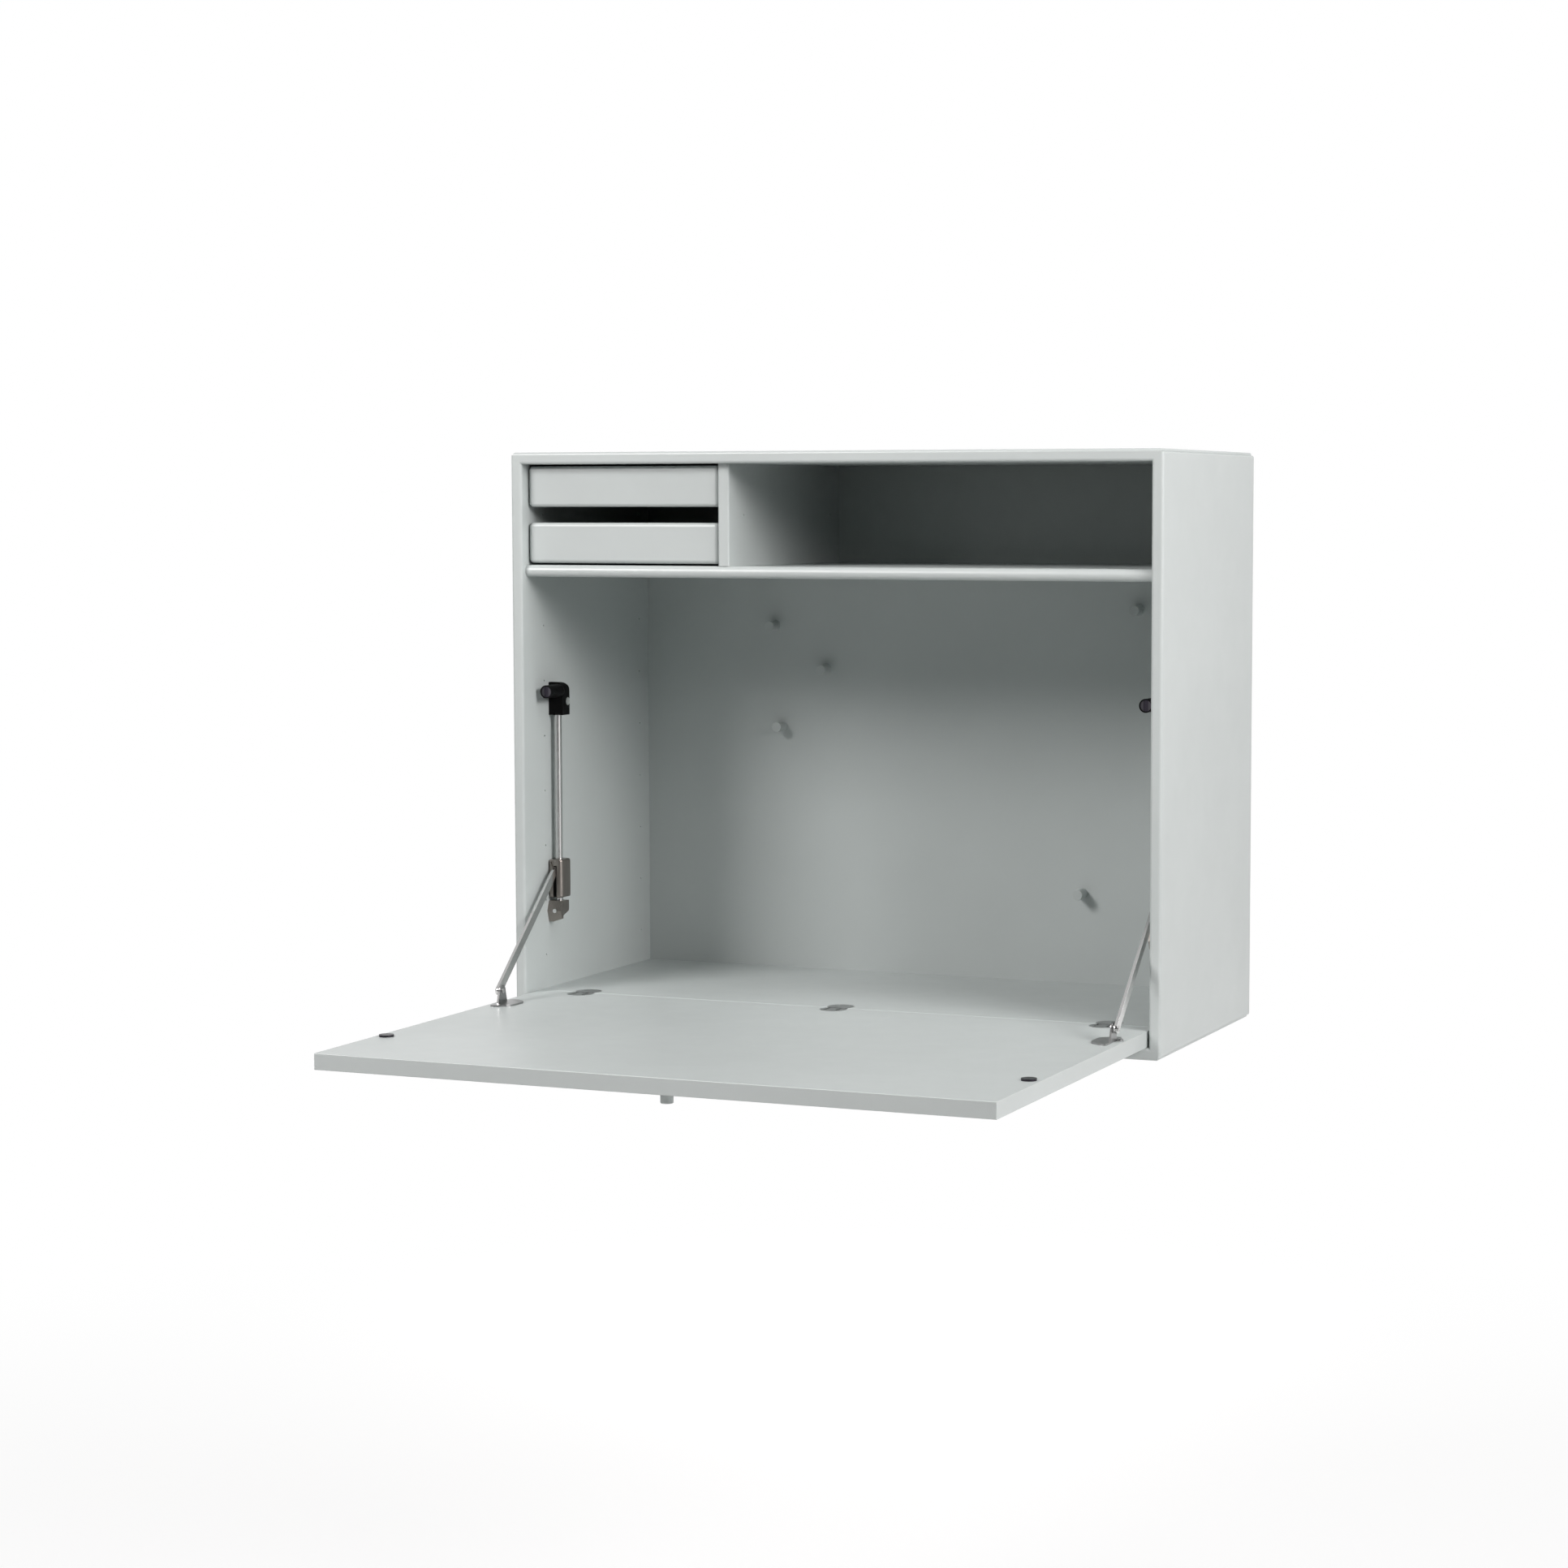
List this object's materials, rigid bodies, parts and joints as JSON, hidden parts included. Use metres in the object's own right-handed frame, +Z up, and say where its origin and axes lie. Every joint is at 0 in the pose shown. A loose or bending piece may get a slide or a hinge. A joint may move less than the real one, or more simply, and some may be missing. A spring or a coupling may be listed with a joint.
{
  "type": "fold down wall desk",
  "caption": "Wall-hung box whose front folds down on stays into a desk top, with shallow drawers, a pigeonhole and a steel back wall for magnetic pegs.",
  "frame": {"origin": "on the wall, in the middle between the two screw holes of the wall rail", "axes": "+X to the right as seen by the user, +Y into the wall, +Z up"},
  "size_m": [0.696, 0.7054, 0.5863],
  "materials": {
    "lacquer": "satin lacquer, pale grey",
    "steel_sheet": "satin lacquer, pale grey",
    "peg_lacquer": "satin lacquer, pale grey",
    "beech": "plain",
    "zinc_steel": "zinc plated",
    "hinge_steel": "satin nickel",
    "chrome": "polished",
    "dark_steel": "dark satin nickel",
    "black_plastic": "matt",
    "magnet_steel": "dark"
  },
  "bodies": {
    "cabinet": {"side_panel_left": "lacquer", "side_panel_right": "lacquer", "top_panel": "lacquer", "bottom_panel": "lacquer", "back_panel": "lacquer", "steel_back_sheet": "steel_sheet", "floor_plate": "lacquer", "middle_shelf": "lacquer", "divider_panel": "lacquer", "shelf_dowels": "beech", "divider_dowels": "beech", "mitre_splines": "beech", "wall_rail": "zinc_steel", "hanging_hooks": "zinc_steel", "hook_screws": "zinc_steel", "tray_runners": "beech", "runner_screws": "zinc_steel", "hinge_cabinet_leaves": "hinge_steel", "hinge_cabinet_screws": "hinge_steel", "stay_head_left": "black_plastic", "stay_head_right": "black_plastic", "catch_magnet_left": "magnet_steel", "catch_magnet_right": "magnet_steel", "stay_rod_left": "chrome", "stay_rod_right": "chrome", "stay_foot_left": "dark_steel", "stay_foot_right": "dark_steel", "stay_screws": "chrome"},
    "flap": {"flap_panel": "lacquer", "flap_knob": "lacquer", "knob_stud": "zinc_steel", "catch_plates": "magnet_steel", "hinge_flap_leaves": "hinge_steel", "hinge_pins": "hinge_steel", "hinge_flap_screws": "hinge_steel", "stay_bracket_left": "chrome", "stay_bracket_right": "chrome", "bracket_rivets": "chrome", "bracket_screws": "chrome"},
    "arm_left": {"stay_arm_left": "chrome"},
    "arm_right": {"stay_arm_right": "chrome"},
    "slider_left": {"stay_slider_left": "dark_steel", "slider_bush_left": "black_plastic", "slider_pin_left": "dark_steel"},
    "slider_right": {"stay_slider_right": "dark_steel", "slider_bush_right": "black_plastic", "slider_pin_right": "dark_steel"},
    "lower_tray": {"lower_tray_front": "lacquer", "lower_tray_sides": "lacquer", "lower_tray_bottom": "lacquer", "lower_tray_back": "lacquer"},
    "upper_tray": {"upper_tray_front": "lacquer", "upper_tray_sides": "lacquer", "upper_tray_bottom": "lacquer", "upper_tray_back": "lacquer"},
    "peg_1_body": {"peg_1": "peg_lacquer"},
    "peg_2_body": {"peg_2": "peg_lacquer"},
    "peg_3_body": {"peg_3": "peg_lacquer"},
    "peg_4_body": {"peg_4": "peg_lacquer"},
    "peg_5_body": {"peg_5": "peg_lacquer"}
  },
  "joints": [
    {"name": "flap_hinge", "type": "hinge", "parent": "cabinet", "child": "flap", "pos_m": [0, -0.28185, -0.49685], "axis": [-1, 0, 0], "range_deg": [0, 90]},
    {"name": "left_arm_pivot", "type": "hinge", "parent": "flap", "child": "arm_left", "pos_m": [-0.328, -0.3712, -0.479], "axis": [1, 0, 0], "range_deg": [0, 132.33]},
    {"name": "right_arm_pivot", "type": "hinge", "parent": "flap", "child": "arm_right", "pos_m": [0.328, -0.3712, -0.479], "axis": [1, 0, 0], "range_deg": [0, 132.33]},
    {"name": "left_slider_travel", "type": "slide", "parent": "cabinet", "child": "slider_left", "axis": [0, 0, 1], "range_m": [0, 0.12565]},
    {"name": "right_slider_travel", "type": "slide", "parent": "cabinet", "child": "slider_right", "axis": [0, 0, 1], "range_m": [0, 0.12565]},
    {"name": "lower_tray_slide", "type": "slide", "parent": "cabinet", "child": "lower_tray", "axis": [0, -1, 0], "range_m": [0, 0.2]},
    {"name": "upper_tray_slide", "type": "slide", "parent": "cabinet", "child": "upper_tray", "axis": [0, -1, 0], "range_m": [0, 0.2]},
    {"name": "peg_1_pull", "type": "slide", "parent": "cabinet", "child": "peg_1_body", "axis": [0, -1, 0], "range_m": [0, 0.06]},
    {"name": "peg_2_pull", "type": "slide", "parent": "cabinet", "child": "peg_2_body", "axis": [0, -1, 0], "range_m": [0, 0.06]},
    {"name": "peg_3_pull", "type": "slide", "parent": "cabinet", "child": "peg_3_body", "axis": [0, -1, 0], "range_m": [0, 0.06]},
    {"name": "peg_4_pull", "type": "slide", "parent": "cabinet", "child": "peg_4_body", "axis": [0, -1, 0], "range_m": [0, 0.06]},
    {"name": "peg_5_pull", "type": "slide", "parent": "cabinet", "child": "peg_5_body", "axis": [0, -1, 0], "range_m": [0, 0.06]}
  ],
  "couplings": [
    {"joint": "left_arm_pivot", "follows": "flap_hinge", "ratio": 1.4703},
    {"joint": "right_arm_pivot", "follows": "flap_hinge", "ratio": 1.4703},
    {"joint": "left_slider_travel", "follows": "flap_hinge", "m_per_rad": 0.079972},
    {"joint": "right_slider_travel", "follows": "flap_hinge", "m_per_rad": 0.079972}
  ]
}
